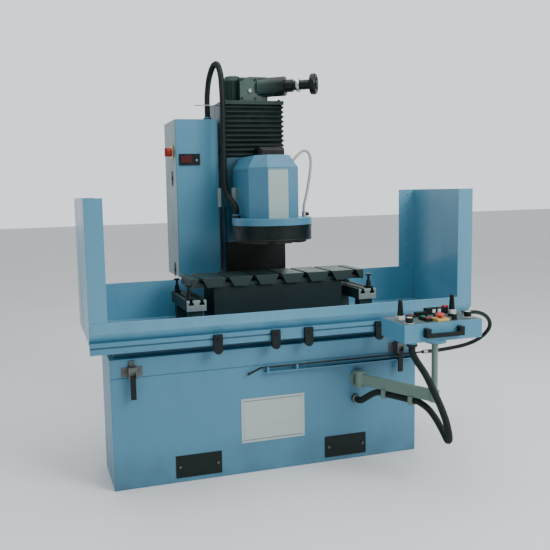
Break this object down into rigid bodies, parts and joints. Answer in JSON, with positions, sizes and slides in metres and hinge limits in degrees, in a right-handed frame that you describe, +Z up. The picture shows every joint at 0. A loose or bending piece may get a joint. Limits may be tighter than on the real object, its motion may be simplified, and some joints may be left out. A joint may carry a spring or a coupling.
{
  "type": "surface grinder",
  "caption": "Vertical-spindle surface grinder with a travelling splash tray and slotted table, a head on a column, an electrical cabinet and a control box on a swinging arm.",
  "frame": {"origin": "on the floor, straight below the spindle axis, with the table centred under it", "axes": "+Z up along the spindle axis, +X to the operator's right along the table's travel, +Y from the operator towards the column"},
  "size_m": [2.2525, 1.5313, 2.3294],
  "materials": {
    "paint": "satin",
    "column_paint": "satin",
    "dark_paint": "satin",
    "black_plastic": "satin",
    "machine_iron": "ground",
    "steel": "ground",
    "hose_rubber": "satin",
    "bellows_cloth": "matte",
    "coolant_plastic": "satin",
    "abrasive": "rough",
    "arm_paint": "satin",
    "plate_label": "satin",
    "motor_paint": "satin",
    "red_plastic": "gloss",
    "green_plastic": "gloss",
    "yellow_plate": "satin"
  },
  "bodies": {
    "machine": {"base_frame": "paint", "front_panel": "paint", "fork_covers": "dark_paint", "badge_plate": "plate_label", "latch_plates": "steel", "lance_rest": "paint", "lance": "black_plastic", "lance_hose": "hose_rubber", "traverse_motor": "motor_paint", "column": "column_paint", "bellows": "bellows_cloth", "feed_drive": "motor_paint", "head_conduit": "hose_rubber", "cabinet": "paint", "panel_meter": "black_plastic", "arm_bracket": "arm_paint", "conduit_lower": "hose_rubber"},
    "table": {"tray": "paint", "splash_walls": "paint", "dog_rail": "paint", "carriage": "machine_iron", "work_table": "machine_iron", "cross_rails": "steel", "work_jacks": "black_plastic"},
    "trip_dog_1": {"dog_1": "dark_paint"},
    "trip_dog_2": {"dog_2": "dark_paint"},
    "trip_dog_3": {"dog_3": "dark_paint"},
    "trip_dog_4": {"dog_4": "dark_paint"},
    "traverse_shaft": {"traverse_screw": "steel"},
    "feed_shaft": {"feed_screw": "steel"},
    "feed_wheel": {"handwheel": "black_plastic"},
    "head": {"head_slide": "column_paint", "way_cover": "dark_paint", "cowl": "paint", "spindle_motor": "motor_paint", "spindle_housing": "steel", "splash_plate": "paint", "wheel_guard": "dark_paint", "coolant_line": "coolant_plastic", "tap_body": "steel"},
    "wheel": {"spindle": "steel", "segments": "abrasive"},
    "tap_knob": {"coolant_tap": "black_plastic"},
    "door": {"cabinet_door": "paint", "door_locks": "black_plastic"},
    "isolator": {"main_switch": "red_plastic"},
    "arm": {"control_arm": "arm_paint", "conduit_upper": "hose_rubber"},
    "box": {"control_box": "paint", "box_fittings": "black_plastic"},
    "stick_left": {"joystick_left": "black_plastic"},
    "stick_right": {"joystick_right": "black_plastic"},
    "dial_left": {"knob_left": "black_plastic"},
    "dial_mid": {"knob_mid": "black_plastic"},
    "dial_right": {"knob_right": "black_plastic"},
    "button_start": {"start_button": "green_plastic"},
    "button_stop": {"stop_button": "red_plastic"},
    "button_estop": {"estop": "red_plastic"},
    "toggle_left": {"latch_left": "black_plastic"},
    "toggle_right": {"latch_right": "black_plastic"}
  },
  "joints": [
    {"name": "table_traverse", "type": "slide", "parent": "machine", "child": "table", "axis": [1, 0, 0], "range_m": [-0.45, 0.45]},
    {"name": "dog_1_shift", "type": "slide", "parent": "table", "child": "trip_dog_1", "axis": [1, 0, 0], "range_m": [-0.3, 0.2]},
    {"name": "dog_2_shift", "type": "slide", "parent": "table", "child": "trip_dog_2", "axis": [1, 0, 0], "range_m": [-0.1, 0]},
    {"name": "dog_3_shift", "type": "slide", "parent": "table", "child": "trip_dog_3", "axis": [1, 0, 0], "range_m": [0, 0.1]},
    {"name": "dog_4_shift", "type": "slide", "parent": "table", "child": "trip_dog_4", "axis": [1, 0, 0], "range_m": [-0.2, 0.3]},
    {"name": "traverse_screw_turn", "type": "hinge", "parent": "machine", "child": "traverse_shaft", "pos_m": [0, -0.1, 0.748], "axis": [1, 0, 0], "range_deg": [-8500, 8500]},
    {"name": "head_feed", "type": "slide", "parent": "machine", "child": "head", "axis": [0, 0, 1], "range_m": [-0.16, 0.18], "deforming": ["bellows", "head_conduit"]},
    {"name": "feed_screw_turn", "type": "hinge", "parent": "machine", "child": "feed_shaft", "pos_m": [0, 0.36, 1.5], "axis": [0, 0, 1], "range_deg": [-7200, 7200]},
    {"name": "handwheel_turn", "type": "hinge", "parent": "machine", "child": "feed_wheel", "pos_m": [0, 0.36, 2.172], "axis": [0.8192, -0.5736, 0], "range_deg": [-7200, 7200]},
    {"name": "wheel_spin", "type": "hinge", "parent": "head", "child": "wheel", "pos_m": [0, 0, 1.302], "axis": [0, 0, 1], "continuous": true},
    {"name": "tap_turn", "type": "hinge", "parent": "head", "child": "tap_knob", "pos_m": [0.206, 0.01, 1.402], "axis": [1, 0, 0], "range_deg": [0, 90]},
    {"name": "door_swing", "type": "hinge", "parent": "machine", "child": "door", "pos_m": [-0.482, 0.674, 1.5], "axis": [0, 0, 1], "range_deg": [-110, 0]},
    {"name": "switch_turn", "type": "hinge", "parent": "door", "child": "isolator", "pos_m": [-0.485, 0.455, 1.793], "axis": [1, 0, 0], "range_deg": [0, 90]},
    {"name": "arm_swing", "type": "hinge", "parent": "machine", "child": "arm", "pos_m": [0.395, -0.33, 0.475], "axis": [0, 0, 1], "range_deg": [-70, 12], "deforming": ["conduit_lower", "lance_hose"]},
    {"name": "box_swivel", "type": "hinge", "parent": "arm", "child": "box", "pos_m": [0.6, -0.748, 0.75], "axis": [0, 0, 1], "range_deg": [-60, 60], "deforming": ["conduit_upper"]},
    {"name": "stick_left_tilt", "type": "hinge", "parent": "box", "child": "stick_left", "pos_m": [0.45, -0.665, 0.891], "axis": [0, 1, 0], "range_deg": [-15, 15], "stiffness_Nm_per_rad": 0.6},
    {"name": "stick_right_tilt", "type": "hinge", "parent": "box", "child": "stick_right", "pos_m": [0.79, -0.612, 0.891], "axis": [0, 1, 0], "range_deg": [-15, 15], "stiffness_Nm_per_rad": 0.6},
    {"name": "dial_left_turn", "type": "hinge", "parent": "box", "child": "dial_left", "pos_m": [0.44, -0.768, 0.869], "axis": [0, 0, 1], "range_deg": [-150, 150]},
    {"name": "dial_mid_turn", "type": "hinge", "parent": "box", "child": "dial_mid", "pos_m": [0.7, -0.765, 0.869], "axis": [0, 0, 1], "range_deg": [-150, 150]},
    {"name": "dial_right_turn", "type": "hinge", "parent": "box", "child": "dial_right", "pos_m": [0.8, -0.735, 0.869], "axis": [0, 0, 1], "range_deg": [-150, 150]},
    {"name": "start_press", "type": "slide", "parent": "box", "child": "button_start", "axis": [0, 0, -1], "range_m": [0, 0.005], "stiffness_N_per_m": 700, "springref_m": -0.002},
    {"name": "stop_press", "type": "slide", "parent": "box", "child": "button_stop", "axis": [0, 0, -1], "range_m": [0, 0.005], "stiffness_N_per_m": 700, "springref_m": -0.002},
    {"name": "estop_press", "type": "slide", "parent": "box", "child": "button_estop", "axis": [0, 0, -1], "range_m": [0, 0.006], "stiffness_N_per_m": 1500, "springref_m": -0.003},
    {"name": "toggle_left_lift", "type": "hinge", "parent": "machine", "child": "toggle_left", "pos_m": [-0.887, -0.328, 0.61], "axis": [1, 0, 0], "range_deg": [-80, 0]},
    {"name": "toggle_right_lift", "type": "hinge", "parent": "machine", "child": "toggle_right", "pos_m": [0.65, -0.328, 0.61], "axis": [1, 0, 0], "range_deg": [-80, 0]}
  ],
  "couplings": [
    {"joint": "traverse_screw_turn", "follows": "table_traverse", "rad_per_m": 314.16},
    {"joint": "feed_screw_turn", "follows": "head_feed", "rad_per_m": 628.32},
    {"joint": "handwheel_turn", "follows": "head_feed", "rad_per_m": 628.32}
  ]
}
